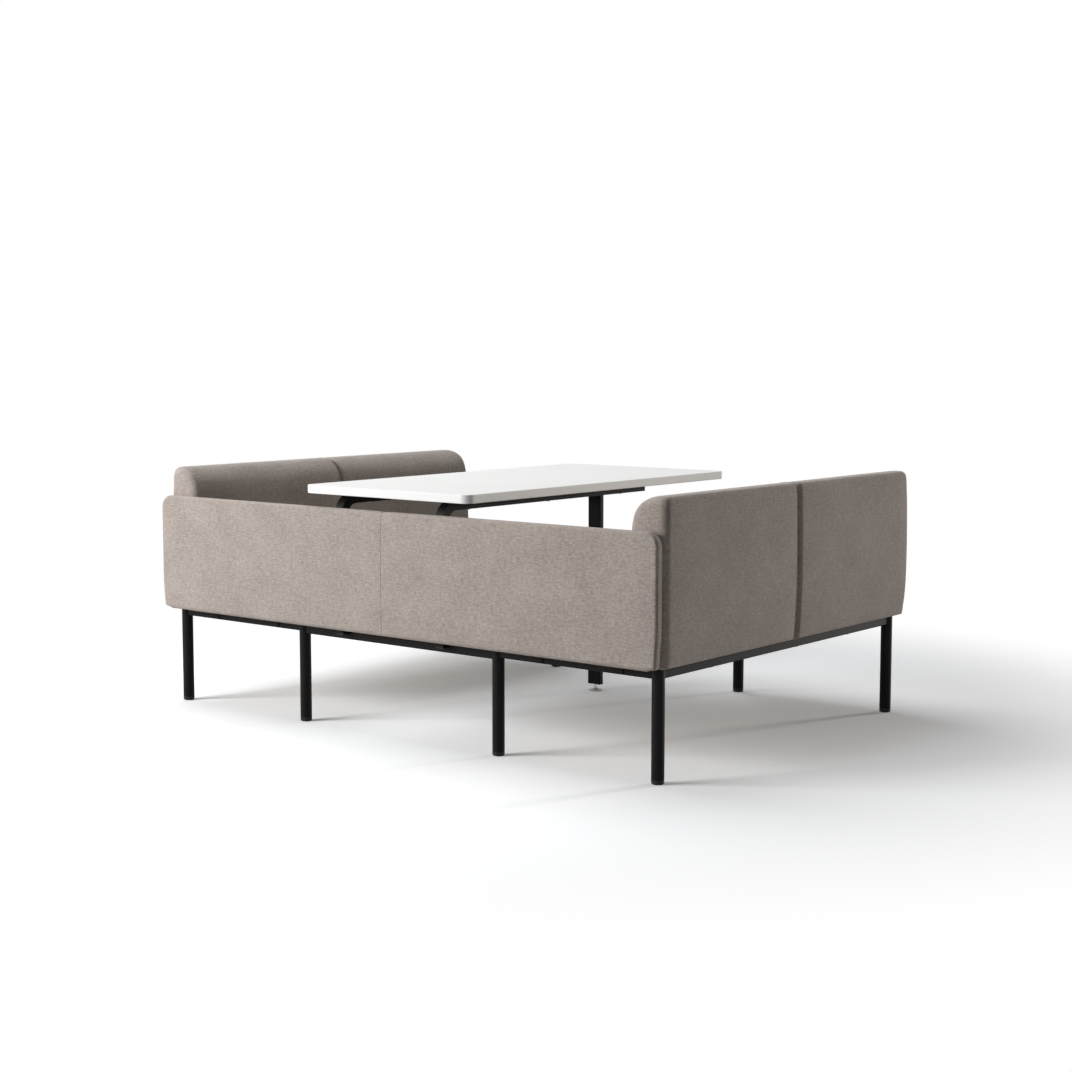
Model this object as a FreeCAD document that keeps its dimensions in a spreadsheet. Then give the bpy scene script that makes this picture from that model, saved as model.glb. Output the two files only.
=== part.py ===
import FreeCAD, Part
import math
import os

import Sketcher
from FreeCAD import Placement, Rotation, Vector

# Meeting booth for four: two upholstered benches face each other across a table, and a low upholstered
# panel closes one end. X runs across the booth, Y from the closed (near) end to the open (far) end and
# Z up. The origin lies on the floor under the middle of the booth.

SIZES = {
    # Underframe: round legs joined by rectangular rails
    "leg_span": 1854,               # rear leg axes, from bench to bench
    "bench_leg_gap": 543,           # rear to front leg axis of one bench
    "leg_run": 1235,                # near to far leg axis
    "leg_diameter": 35,
    "leg_wall": 2,
    "rail_top": 306,                # above the floor
    "rail_height": 28,
    "link_rail_height": 34,
    "rail_depth": 20,
    "tube_wall": 2,
    "tube_corner": 3,
    "weld_gap": 0.2,
    # Screw-in feet of the benches
    "foot_height": 12,
    "foot_edge": 5,
    "foot_gap": 0.3,                # below the leg end, screwed right in
    "foot_stem_diameter": 8,
    "foot_stem_length": 30,
    "insert_height": 20,
    "thread_clearance": 0.05,
    "insert_fit": 0.05,
    # Overhang of the upholstery and its common sizes
    "side_overhang": 43,            # outer bench face beyond the rear leg axis
    "end_overhang": 67,             # booth end beyond the end leg axis
    "soft_clearance": 0.3,
    "skirt": 18,                    # cover that hangs past the edge of the deck
    "deck_thickness": 18,
    "module_gap": 3,                # between the two modules of a bench
    "cushion_roll": 24,             # rounding of a cushion towards the end of its bench
    "seam_roll": 9,                 # rounding of a cushion towards its neighbour
    "side_swell": 1.5,              # swelling of a cushion's sides
    "end_draw_in": 9,               # bench end, drawn in towards its foot
    "end_lean_in": 7,               # bench end, drawn in towards its top
    # Backs
    "back_height": 758,
    "back_top_thickness": 118,
    "back_seat_thickness": 134,
    "back_inner_radius": 74,
    "back_outer_radius": 14,
    "back_lean_in": 4,              # outer face, drawn in towards its top
    "back_draw_in": 7,              # outer face, drawn in towards its foot
    "back_crown": 7,
    "back_board_thickness": 15,
    "back_board_top": 690,
    "back_board_margin": 34,        # board end to cushion end
    "upright_thickness": 5,
    "upright_width": 40,
    "upright_top": 640,
    # Seats
    "seat_height": 450,
    "seat_crown": 10,
    "seat_roll": 22,                # rounding of a seat towards its ends
    "seat_front_radius": 28,
    "seat_rear_radius": 18,
    "seat_draw_in": 6,
    "seat_back_gap": 1.5,
    # End panel
    "panel_thickness": 29,
    "panel_top": 671,
    "panel_gap": 4,                 # to the ends of the benches
    "panel_outer_radius": 10,
    "panel_inner_radius": 6,
    "panel_top_corner": 42,
    "panel_bottom_corner": 10,
    "panel_taper": 7,               # drawing-in of each end towards the bottom
    "panel_taper_height": 90,
    "panel_board_thickness": 12,
    "panel_board_margin": 36,
    "panel_board_headroom": 20,
    "seam_width": 3,
    "seam_depth": 1.6,
    "bracket_thickness": 3,
    "bracket_width": 60,
    "bracket_reach": 47,
    "bracket_drop": 24,
    # Table
    "table_height": 730,
    "table_thickness": 25,
    "table_width": 645,
    "table_length": 1295,
    "table_inset": 10,              # near edge behind the booth's closed end
    "table_corner": 28,
    "table_edge": 2,
    "arm_size": 28,
    "arm_spacing": 396,             # arm axis to arm axis
    "arm_bend": 44,                 # radius at the arm's axis
    "arm_foot_lift": 10,            # arm foot above the underside of the link rail
    "arm_crossbar_gap": 6,          # arm end to the cross bar
    "crossbar_length": 370,
    "table_leg_width": 50,
    "table_leg_depth": 20,
    "table_leg_setback": 280,       # leg axis in from the far edge of the top
    "cap_thickness": 3,
    # Levelling foot of the table leg
    "leveller_clear": 22,           # floor to the underside of the plug
    "plug_flange": 2,
    "plug_height": 24,
    "plug_fit": 0.1,
    "stem_diameter": 8,
    "stem_top": 64,
    "stem_foot_diameter": 10,
    "collar_width": 11,             # across the spanner flats
    "collar_low": 9,
    "collar_height": 4,
    "pad_diameter": 48,
    "pad_rim": 3,
    "pad_shoulder": 4.5,
    "pad_boss_diameter": 18,
    "pad_boss_height": 8,
    "pad_floor": 2,
    "pad_gap": 0.3,
    # Fasteners
    "screw_diameter": 5,
    "screw_head_diameter": 10,
    "screw_head_height": 3,
    "screw_bite": 13,               # thread held in wood
    "screw_clearance": 0.3,
    "bolt_diameter": 6,
    "bolt_head_diameter": 10,
    "bolt_head_height": 4,
    "bolt_length": 46,
    "cut_overrun": 5,
}

doc = FreeCAD.newDocument("Booth")
sheet = doc.addObject("Spreadsheet::Sheet", "Dim")
for row, (alias, value) in enumerate(SIZES.items(), start=1):
    sheet.set(f"A{row}", alias.replace("_", " "))
    sheet.set(f"B{row}", str(value))
    sheet.setAlias(f"B{row}", alias)
doc.recompute()

SIDES = {"left": -1, "right": 1}
ALONG_X = Rotation(Vector(0, 1, 0), 90)
ALONG_Y = Rotation(Vector(1, 0, 0), -90)
UPRIGHT = Rotation()

# Places that several pieces share, as expressions on the sheet
REAR_X = "Dim.leg_span / 2"
FRONT_X = f"({REAR_X} - Dim.bench_leg_gap)"
NEAR_Y = "-Dim.leg_run / 2"
FAR_Y = "Dim.leg_run / 2"
RAIL_BOTTOM = "(Dim.rail_top - Dim.rail_height)"
RAIL_MIDDLE = "(Dim.rail_top - Dim.rail_height / 2)"
OUTER_X = f"({REAR_X} + Dim.side_overhang)"
SEAT_FRONT_X = f"({FRONT_X} - Dim.side_overhang)"
BACK_FRONT_X = f"({OUTER_X} - Dim.back_seat_thickness)"
CLOSED_Y = f"({NEAR_Y} - Dim.end_overhang)"
OPEN_Y = f"({FAR_Y} + Dim.end_overhang)"
PANEL_INNER_Y = f"({CLOSED_Y} + Dim.panel_thickness)"
BENCH_NEAR_Y = f"({PANEL_INNER_Y} + Dim.panel_gap)"
SEAM_Y = f"(({BENCH_NEAR_Y} + {OPEN_Y}) / 2)"
DECK_TOP = "(Dim.rail_top + Dim.deck_thickness)"
MODULES = {
    "near": (BENCH_NEAR_Y, f"({SEAM_Y} - Dim.module_gap / 2)"),
    "far": (f"({SEAM_Y} + Dim.module_gap / 2)", OPEN_Y),
}
nodes = []


def at(expression):
    """The value of an expression on the sheet."""
    return float(sheet.evalExpression(expression))


def sided(sign, expression):
    """The same distance from the middle plane, to the left or to the right."""
    return expression if sign > 0 else f"-({expression})"


def node(piece):
    """Keep a finished piece for the hand-over."""
    nodes.append(piece)
    return piece


def place(piece, base, turn=UPRIGHT):
    piece.Placement = Placement(Vector(), turn)
    for axis, expression in zip("xyz", base):
        piece.setExpression(f"Placement.Base.{axis}", expression)
    return piece


def box(label, size, base):
    piece = doc.addObject("Part::Box", label)
    piece.Label = label
    for path, expression in zip(("Length", "Width", "Height"), size):
        piece.setExpression(path, expression)
    return place(piece, base)


def cylinder(label, radius, length, base, turn=UPRIGHT):
    piece = doc.addObject("Part::Cylinder", label)
    piece.Label = label
    piece.setExpression("Radius", radius)
    piece.setExpression("Height", length)
    return place(piece, base, turn)


def joined(label, pieces):
    fuse = doc.addObject("Part::MultiFuse", label)
    fuse.Label = label
    fuse.Shapes = pieces
    return fuse


def cut(label, base, tools):
    piece = doc.addObject("Part::Cut", label)
    piece.Label = label
    piece.Base = base
    piece.Tool = tools[0] if len(tools) == 1 else joined(f"{label}_tools", tools)
    return piece


def copies(label, piece, places):
    """Identical separate pieces, each a copy of one that is made at the origin."""
    doc.recompute()
    shapes = []
    for spot in places:
        shape = piece.Shape.copy()
        shape.translate(Vector(*(at(expression) for expression in spot)))
        shapes.append(shape)
    group = doc.addObject("Part::Feature", label)
    group.Label = label
    group.Shape = Part.makeCompound(shapes)
    return group


def new_body(label):
    body = doc.addObject("PartDesign::Body", label)
    body.Label = label
    return body


def sketch_on(body, role):
    sketch = body.newObject("Sketcher::SketchObject", f"{body.Label}_sketch")
    plane = next(f for f in body.Origin.OriginFeatures if f.Role == role)
    sketch.AttachmentSupport = [(plane, "")]
    sketch.MapMode = "FlatFace"
    return sketch


def outline(sketch, corners):
    """A closed outline whose corners are pairs of expressions, measured from the sketch's origin."""
    points = [Vector(at(across), at(along), 0) for across, along in corners]
    first = sketch.GeometryCount
    count = len(points)
    for i in range(count):
        sketch.addGeometry(Part.LineSegment(points[i], points[(i + 1) % count]))
    for i in range(count):
        sketch.addConstraint(Sketcher.Constraint("Coincident", first + i, 2, first + (i + 1) % count, 1))
    for i, (across, along) in enumerate(corners):
        for kind, expression in (("DistanceX", across), ("DistanceY", along)):
            limit = Sketcher.Constraint(kind, -1, 1, first + i, 1, at(expression))
            index = sketch.addConstraint(limit)
            sketch.setExpression(f"Constraints[{index}]", expression)


def rectangle(sketch, wide, tall):
    half_wide = f"({wide}) / 2"
    half_tall = f"({tall}) / 2"
    outline(sketch, [(f"-{half_wide}", f"-{half_tall}"), (half_wide, f"-{half_tall}"),
                     (half_wide, half_tall), (f"-{half_wide}", half_tall)])


def hollow_section(sketch, wide, tall):
    rectangle(sketch, wide, tall)
    rectangle(sketch, f"({wide}) - 2 * Dim.tube_wall", f"({tall}) - 2 * Dim.tube_wall")


def pad(body, sketch, length):
    feature = body.newObject("PartDesign::Pad", f"{body.Label}_pad")
    feature.Profile = sketch
    feature.setExpression("Length", length)
    doc.recompute()
    return feature


def turned(body, corners):
    """A piece turned about Z from an outline in radius and height."""
    sketch = sketch_on(body, "XZ_Plane")
    outline(sketch, corners)
    feature = body.newObject("PartDesign::Revolution", f"{body.Label}_turned")
    feature.Profile = sketch
    feature.ReferenceAxis = (sketch, ["V_Axis"])
    doc.recompute()
    return feature


def rounded(body, feature, radius, wanted):
    """Round the edges of a feature for which wanted(edge) is true."""
    names = [f"Edge{i}" for i, edge in enumerate(feature.Shape.Edges, start=1) if wanted(edge)]
    fillet = body.newObject("PartDesign::Fillet", f"{body.Label}_rounding")
    fillet.Base = (feature, names)
    fillet.setExpression("Radius", radius)
    doc.recompute()
    return fillet


def tube(label, wide, tall, run, base, turn):
    """A straight rectangular tube with rounded outer edges, run along its own Z."""
    body = new_body(label)
    sketch = sketch_on(body, "XY_Plane")
    hollow_section(sketch, wide, tall)
    stock = pad(body, sketch, run)
    reach = math.hypot(at(wide), at(tall)) / 2

    def outer_corner(edge):
        middle = edge.CenterOfMass
        along = edge.BoundBox.ZLength > edge.Length / 2
        return along and math.isclose(math.hypot(middle.x, middle.y), reach, rel_tol=1e-4)

    rounded(body, stock, "Dim.tube_corner", outer_corner)
    return place(body, base, turn)


def screw(label, diameter, head_diameter, head_height, length, turn):
    """A headed screw whose head seats at the origin, with the shank running on along its axis."""
    shank = cylinder(f"{label}_shank", f"{diameter} / 2", length, ("0", "0", "0"))
    head = cylinder(f"{label}_head", f"{head_diameter} / 2", head_height, ("0", "0", f"-{head_height}"))
    piece = joined(label, [shank, head])
    piece.Placement = Placement(Vector(), turn)
    return piece


# Legs: round tubes, four to a bench, that run up to the top of the rails.
LEG_BOTTOM = "(Dim.foot_height + Dim.foot_gap)"
LEG_HEIGHT = f"(Dim.rail_top - {LEG_BOTTOM})"
leg_places = {}
for side, sign in SIDES.items():
    for row, across in (("rear", REAR_X), ("front", FRONT_X)):
        for end, along in (("near", NEAR_Y), ("far", FAR_Y)):
            leg_places[f"{side}_{row}_{end}"] = (sided(sign, across), along)

for name, (x, y) in leg_places.items():
    skin = cylinder(f"leg_{name}_skin", "Dim.leg_diameter / 2", LEG_HEIGHT, (x, y, LEG_BOTTOM))
    bore = cylinder(f"leg_{name}_bore", "Dim.leg_diameter / 2 - Dim.leg_wall", LEG_HEIGHT, (x, y, LEG_BOTTOM))
    node(cut(f"leg_{name}", skin, [bore]))

# Threaded inserts pressed into the lower ends of the legs.
plain_insert = cylinder("insert_blank", "Dim.leg_diameter / 2 - Dim.leg_wall - Dim.insert_fit",
                        "Dim.insert_height", ("0", "0", "0"))
thread = cylinder("insert_thread", "Dim.foot_stem_diameter / 2 + Dim.thread_clearance",
                  "Dim.insert_height", ("0", "0", "0"))
insert = cut("insert", plain_insert, [thread])
node(copies("leg_inserts", insert, [(x, y, LEG_BOTTOM) for x, y in leg_places.values()]))

# Feet: a moulded glide as wide as the leg, on a threaded stem that screws into the insert.
for name, (x, y) in leg_places.items():
    foot = new_body(f"foot_{name}")
    stem_top = "Dim.foot_height + Dim.foot_stem_length"
    glide = turned(foot, [
        ("0", "0"), ("Dim.leg_diameter / 2", "0"), ("Dim.leg_diameter / 2", "Dim.foot_height"),
        ("Dim.foot_stem_diameter / 2", "Dim.foot_height"), ("Dim.foot_stem_diameter / 2", stem_top),
        ("0", stem_top),
    ])
    rounded(foot, glide, "Dim.foot_edge", lambda edge: edge.BoundBox.ZMax < at("Dim.foot_gap"))
    node(place(foot, (x, y, "0")))

# Fasteners that are made once at the origin and then repeated.
DECK_SCREW_LENGTH = "(Dim.rail_height + Dim.screw_bite)"
deck_screw = screw("deck_screw", "Dim.screw_diameter", "Dim.screw_head_diameter",
                   "Dim.screw_head_height", DECK_SCREW_LENGTH, UPRIGHT)
DECK_SCREW_SHARES = (-0.3, 0.06, 0.3)
deck_screw_places = []
for sign in SIDES.values():
    for across in (REAR_X, FRONT_X):
        for share in DECK_SCREW_SHARES:
            deck_screw_places.append((sided(sign, across), f"Dim.leg_run * {share}", RAIL_BOTTOM))


def screw_holes(label, places, radius, length, turn=UPRIGHT):
    """Clearance holes for fasteners, each drilled from a place along the fastener's axis."""
    return [cylinder(f"{label}_{i}", radius, length, spot, turn) for i, spot in enumerate(places)]


SCREW_HOLE = "Dim.screw_diameter / 2 + Dim.screw_clearance"

# Rails: rectangular tubes, coped to the round legs. A long rail takes the deck's screws.
for side, sign in SIDES.items():
    for row, across in (("rear", REAR_X), ("front", FRONT_X)):
        x = sided(sign, across)
        label = f"{side}_{row}_rail"
        stock = tube(f"{label}_stock", "Dim.rail_depth", "Dim.rail_height", "Dim.leg_run",
                     (x, NEAR_Y, RAIL_MIDDLE), ALONG_Y)
        tools = [
            cylinder(f"{label}_cope_{end}", "Dim.leg_diameter / 2 + Dim.weld_gap",
                     "Dim.rail_height + 2 * Dim.cut_overrun", (x, y, f"{RAIL_BOTTOM} - Dim.cut_overrun"))
            for end, y in (("near", NEAR_Y), ("far", FAR_Y))
        ]
        spots = [(x, f"Dim.leg_run * {share}", f"{RAIL_BOTTOM} - Dim.cut_overrun")
                 for share in DECK_SCREW_SHARES]
        tools += screw_holes(f"{label}_hole", spots, SCREW_HOLE, "Dim.rail_height + 2 * Dim.cut_overrun")
        node(cut(label, stock, tools))

# Short rails across each bench, and the link rail that ties the benches at the closed end. The link
# rail takes the bolts of the table arms.
ARM_X = "Dim.arm_spacing / 2"
ARM_FOOT_Z = f"({RAIL_BOTTOM} + Dim.arm_foot_lift)"
ARM_BOLT_Z = f"({RAIL_MIDDLE} + Dim.arm_foot_lift / 2)"
RAIL_NEAR_FACE = f"({NEAR_Y} - Dim.rail_depth / 2)"
RAIL_FAR_FACE = f"({NEAR_Y} + Dim.rail_depth / 2)"
BOLT_HOLE = "Dim.bolt_diameter / 2 + Dim.screw_clearance"
short_rails = {"link_rail": (f"-{FRONT_X}", FRONT_X, NEAR_Y)}
for side, sign in SIDES.items():
    low, high = (FRONT_X, REAR_X) if sign > 0 else (f"-({REAR_X})", f"-{FRONT_X}")
    for end, y in (("near", NEAR_Y), ("far", FAR_Y)):
        short_rails[f"{side}_{end}_rail"] = (low, high, y)

for label, (low, high, y) in short_rails.items():
    tall = "Dim.link_rail_height" if label == "link_rail" else "Dim.rail_height"
    stock = tube(f"{label}_stock", tall, "Dim.rail_depth", f"({high}) - ({low})",
                 (low, y, f"Dim.rail_top - {tall} / 2"), ALONG_X)
    tools = [
        cylinder(f"{label}_cope_{i}", "Dim.leg_diameter / 2 + Dim.weld_gap",
                 f"{tall} + 2 * Dim.cut_overrun", (x, y, f"Dim.rail_top - {tall} - Dim.cut_overrun"))
        for i, x in enumerate((low, high))
    ]
    if label == "link_rail":
        spots = [(sided(sign, ARM_X), f"{RAIL_NEAR_FACE} - Dim.cut_overrun", ARM_BOLT_Z)
                 for sign in SIDES.values()]
        tools += screw_holes("link_bolt_hole", spots, BOLT_HOLE, "Dim.rail_depth + 2 * Dim.cut_overrun",
                             ALONG_Y)
    node(cut(label, stock, tools))

# A bearer under the middle of each deck, between its two long rails.
for side, sign in SIDES.items():
    low = sided(sign, f"{FRONT_X} + Dim.rail_depth / 2 + Dim.weld_gap")
    high = sided(sign, f"{REAR_X} - Dim.rail_depth / 2 - Dim.weld_gap")
    start, stop = (low, high) if sign > 0 else (high, low)
    node(tube(f"{side}_bearer", "Dim.rail_height", "Dim.rail_depth", f"({stop}) - ({start})",
              (start, "0", RAIL_MIDDLE), ALONG_X))

# Uprights: flat bars welded to the rear rails. They pass through the deck and carry the back boards.
UPRIGHT_SHARES = (0.22, 0.78)
UPRIGHT_LOW_X = f"({REAR_X} - Dim.upright_thickness / 2)"
flat_bar = box("flat_bar", ("Dim.upright_thickness", "Dim.upright_width", "Dim.upright_top - Dim.rail_top"),
               ("-Dim.upright_thickness / 2", "-Dim.upright_width / 2", "0"))
upright_rows = [f"({low} + ({high} - {low}) * {share})"
                for low, high in MODULES.values() for share in UPRIGHT_SHARES]
upright_places = [(sided(sign, REAR_X), y, "Dim.rail_top")
                  for sign in SIDES.values() for y in upright_rows]
node(copies("back_uprights", flat_bar, upright_places))

# Decks: plywood on the rails, slotted for the uprights and drilled for its screws.
DECK_LOW_X = f"({SEAT_FRONT_X} + Dim.skirt)"
DECK_HIGH_X = f"({OUTER_X} - Dim.skirt)"
DECK_NEAR_Y = f"({BENCH_NEAR_Y} + Dim.skirt)"
DECK_FAR_Y = f"({OPEN_Y} - Dim.skirt)"
for side, sign in SIDES.items():
    low = sided(sign, DECK_LOW_X if sign > 0 else DECK_HIGH_X)
    board = box(f"{side}_deck_board",
                (f"{DECK_HIGH_X} - {DECK_LOW_X}", f"{DECK_FAR_Y} - {DECK_NEAR_Y}", "Dim.deck_thickness"),
                (low, DECK_NEAR_Y, "Dim.rail_top"))
    tools = []
    for i, y in enumerate(upright_rows):
        slot_base = (f"{sided(sign, REAR_X)} - Dim.upright_thickness / 2 - Dim.soft_clearance",
                     f"{y} - Dim.upright_width / 2 - Dim.soft_clearance",
                     "Dim.rail_top - Dim.cut_overrun")
        tools.append(box(f"{side}_deck_slot_{i}",
                         ("Dim.upright_thickness + 2 * Dim.soft_clearance",
                          "Dim.upright_width + 2 * Dim.soft_clearance",
                          "Dim.deck_thickness + 2 * Dim.cut_overrun"), slot_base))
    for row, across in (("rear", REAR_X), ("front", FRONT_X)):
        spots = [(sided(sign, across), f"Dim.leg_run * {share}", "Dim.rail_top - Dim.cut_overrun")
                 for share in DECK_SCREW_SHARES]
        tools += screw_holes(f"{side}_deck_{row}_hole", spots, SCREW_HOLE,
                             "Dim.screw_bite + Dim.screw_clearance + Dim.cut_overrun")
    node(cut(f"{side}_deck", board, tools))
node(copies("deck_screws", deck_screw, deck_screw_places))

# Back boards: plywood that stands on the deck against the uprights, one in each back cushion.
BOARD_HIGH_X = UPRIGHT_LOW_X
BOARD_LOW_X = f"({UPRIGHT_LOW_X} - Dim.back_board_thickness)"
for side, sign in SIDES.items():
    for end, (low, high) in MODULES.items():
        x = sided(sign, BOARD_LOW_X if sign > 0 else BOARD_HIGH_X)
        node(box(f"{side}_{end}_back_board",
                 ("Dim.back_board_thickness", f"{high} - {low} - 2 * Dim.back_board_margin",
                  f"Dim.back_board_top - {DECK_TOP}"),
                 (x, f"{low} + Dim.back_board_margin", DECK_TOP)))


def runs_at(edge, x, z):
    """Whether an edge runs along Y through one point of a section."""
    middle = edge.CenterOfMass
    return math.hypot(middle.x - x, middle.z - z) < at("Dim.weld_gap")


def lies_at(edge, y):
    """Whether an edge lies in the plane across Y at one distance."""
    bounds = edge.BoundBox
    return max(abs(bounds.YMin - y), abs(bounds.YMax - y)) < at("Dim.weld_gap")


# Upholstery. A back is a loft upwards through oblongs with round corners and swelling sides: it draws in
# towards its foot and its top, and the end of a bench is rounder than the seam between two backs. A seat
# is a loft along the bench through crowned sections. A roll share is a distance from the seat's end and
# a drawing-in there.
SEAT_REAR_X = f"({BACK_FRONT_X} - Dim.seat_back_gap)"
SEAT_EDGE = "(Dim.seat_height - Dim.seat_crown)"
LOWER_DRAW_SHARE = 0.42
UPPER_DRAW_SHARE = 0.5
CORNER_SHARE = 0.45
BACK_RISE_SHARES = (0, 0.16, 0.33, 0.5, 0.67, 0.84)
TURN_SHARES = (0, 0.28, 0.52, 0.76, 1)
ROLL_SHARES = ((0, 0.6), (0.1, 0.34), (0.4, 0.13), (1, 0.05), (4, 0.01))
BENCH_END = {"roll": "Dim.cushion_roll", "draw": "Dim.end_draw_in", "lean": "Dim.end_lean_in"}
SEAM_END = {"roll": "Dim.seam_roll", "draw": "0", "lean": "0"}
MODULE_ENDS = {"near": (BENCH_END, SEAM_END), "far": (SEAM_END, BENCH_END)}


def arc(start, middle, stop):
    return Part.Arc(start, middle, stop).toShape()


def oblong(low, high, radii, swells):
    """A closed outline at one height, with a corner radius at its near and far end and four swelling sides."""
    near, far = (min(radius, (high.x - low.x) * CORNER_SHARE) for radius in radii)
    middle = (low + high) * 0.5
    half_root = math.sqrt(0.5)
    sides = [
        (Vector(low.x + near, low.y, low.z), Vector(middle.x, low.y - swells["end"], low.z),
         Vector(high.x - near, low.y, low.z)),
        (Vector(high.x, low.y + near, low.z), Vector(high.x + swells["outer"], middle.y, low.z),
         Vector(high.x, high.y - far, low.z)),
        (Vector(high.x - far, high.y, low.z), Vector(middle.x, high.y + swells["end"], low.z),
         Vector(low.x + far, high.y, low.z)),
        (Vector(low.x, high.y - far, low.z), Vector(low.x - swells["inner"], middle.y, low.z),
         Vector(low.x, low.y + near, low.z)),
    ]
    centers = [Vector(high.x - near, low.y + near, low.z), Vector(high.x - far, high.y - far, low.z),
               Vector(low.x + far, high.y - far, low.z), Vector(low.x + near, low.y + near, low.z)]
    edges = []
    for i, (start, swell, stop) in enumerate(sides):
        after = sides[(i + 1) % len(sides)][0]
        spread = (stop - centers[i]) + (after - centers[i])
        edges += [arc(start, swell, stop), arc(stop, centers[i] + spread * half_root, after)]
    return Part.Wire(edges)


def eased(z, top, radius):
    """How far a rounded top edge has drawn in at one height."""
    rise = min(max(z - top + radius, 0), radius)
    return radius - math.sqrt(radius ** 2 - rise ** 2)


def turn_heights(top, radius):
    """Heights through the quarter turn of a rounded top edge."""
    return [top - radius + radius * math.sin(math.radians(90 * share)) for share in TURN_SHARES]


def end_insets(ends, height, z, top):
    """How far the two ends of a cushion have drawn in at one height, which is also given as a share."""
    lower = max(0, 1 - height / LOWER_DRAW_SHARE) ** 2
    upper = max(0, 1 - (1 - height) / UPPER_DRAW_SHARE) ** 2
    return [at("Dim.side_swell") + at(end["draw"]) * lower + at(end["lean"]) * upper
            + eased(z, top, at(end["roll"])) for end in ends]


def back_level(z, low, high, ends):
    """Outline of a right-hand back: rounder inside than outside, with its crown above the seat."""
    floor, top, seat = at("Dim.rail_top"), at("Dim.back_height"), at("Dim.seat_height")
    height = (z - floor) / (top - floor)
    above = max(0, (z - seat) / (top - seat))
    swell = at("Dim.side_swell")
    near_inset, far_inset = end_insets(ends, height, z, top)
    lower = max(0, 1 - height / LOWER_DRAW_SHARE) ** 2
    upper = max(0, 1 - (1 - height) / UPPER_DRAW_SHARE) ** 2
    inner = (at(BACK_FRONT_X) + swell + at("Dim.back_seat_thickness - Dim.back_top_thickness") * above
             + eased(z, top, at("Dim.back_inner_radius")))
    outer = (at(OUTER_X) - swell - at("Dim.back_draw_in") * lower - at("Dim.back_lean_in") * upper
             - eased(z, top, at("Dim.back_outer_radius")))
    return oblong(Vector(inner, low + near_inset, z), Vector(outer, high - far_inset, z),
                  [at(end["roll"]) for end in ends],
                  {"end": swell, "outer": swell, "inner": swell + at("Dim.back_crown") * 4 * above * (1 - above)})


UP, OUT, IN = Vector(0, 0, 1), Vector(1, 0, 0), Vector(-1, 0, 0)


def line(start, stop):
    return Part.LineSegment(start, stop).toShape()


def quarter(center, radius, first, last):
    """A quarter circle about a centre, between two unit directions."""
    half = (first + last).normalize()
    return arc(center + first * radius, center + half * radius, center + last * radius)


def seat_section(y, draw):
    """Section of a right-hand seat: crowned top, rounded edges, front face drawn in at the foot."""
    floor, edge = at("Dim.rail_top"), at(SEAT_EDGE)
    front, rear = at(SEAT_FRONT_X), at(SEAT_REAR_X)
    front_radius, rear_radius = at("Dim.seat_front_radius"), at("Dim.seat_rear_radius")
    front_center = Vector(front + front_radius, y, edge - front_radius)
    rear_center = Vector(rear - rear_radius, y, edge - rear_radius)
    foot_front = Vector(front + at("Dim.seat_draw_in") + draw, y, floor)
    brow = front_center + IN * (front_radius - draw)
    belly = Vector(front + draw, y, (floor + brow.z) / 2)
    lip = front_center + UP * (front_radius - draw)
    tail = rear_center + UP * (rear_radius - draw)
    crown = (lip + tail) * 0.5 + UP * at("Dim.seat_crown")
    heel = rear_center + OUT * (rear_radius - draw)
    foot_rear = Vector(heel.x, y, floor)
    return Part.Wire([
        line(foot_rear, foot_front), arc(foot_front, belly, brow), quarter(front_center, front_radius - draw, IN, UP),
        arc(lip, crown, tail), quarter(rear_center, rear_radius - draw, UP, OUT), line(heel, foot_rear),
    ])


def stations(low, high):
    """Places along a seat, each with how far its section is drawn in there."""
    roll = at("Dim.seat_roll")
    near = [(low + run * roll, draw * roll) for run, draw in ROLL_SHARES]
    far = [(high - run * roll, draw * roll) for run, draw in reversed(ROLL_SHARES)]
    return near + [((low + high) / 2, 0)] + far


def cushion(label, levels, sign, tools):
    """A lofted cushion less what it fits over, mirrored to the left bench where the sign says so."""
    shape = Part.makeLoft(levels, True)
    if sign < 0:
        shape = shape.mirror(Vector(), Vector(1, 0, 0))
    foam = doc.addObject("Part::Feature", f"{label}_foam")
    foam.Label = f"{label}_foam"
    foam.Shape = shape
    return node(cut(label, foam, tools))


def deck_recess(label, sign):
    """The room that the deck takes up in the underside of a cushion."""
    low = sided(sign, DECK_LOW_X if sign > 0 else DECK_HIGH_X)
    return box(f"{label}_recess",
               (f"{DECK_HIGH_X} - {DECK_LOW_X} + 2 * Dim.soft_clearance",
                f"{DECK_FAR_Y} - {DECK_NEAR_Y} + 2 * Dim.soft_clearance",
                "Dim.deck_thickness + Dim.soft_clearance + Dim.cut_overrun"),
               (f"{low} - Dim.soft_clearance", f"{DECK_NEAR_Y} - Dim.soft_clearance",
                "Dim.rail_top - Dim.cut_overrun"))


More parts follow.
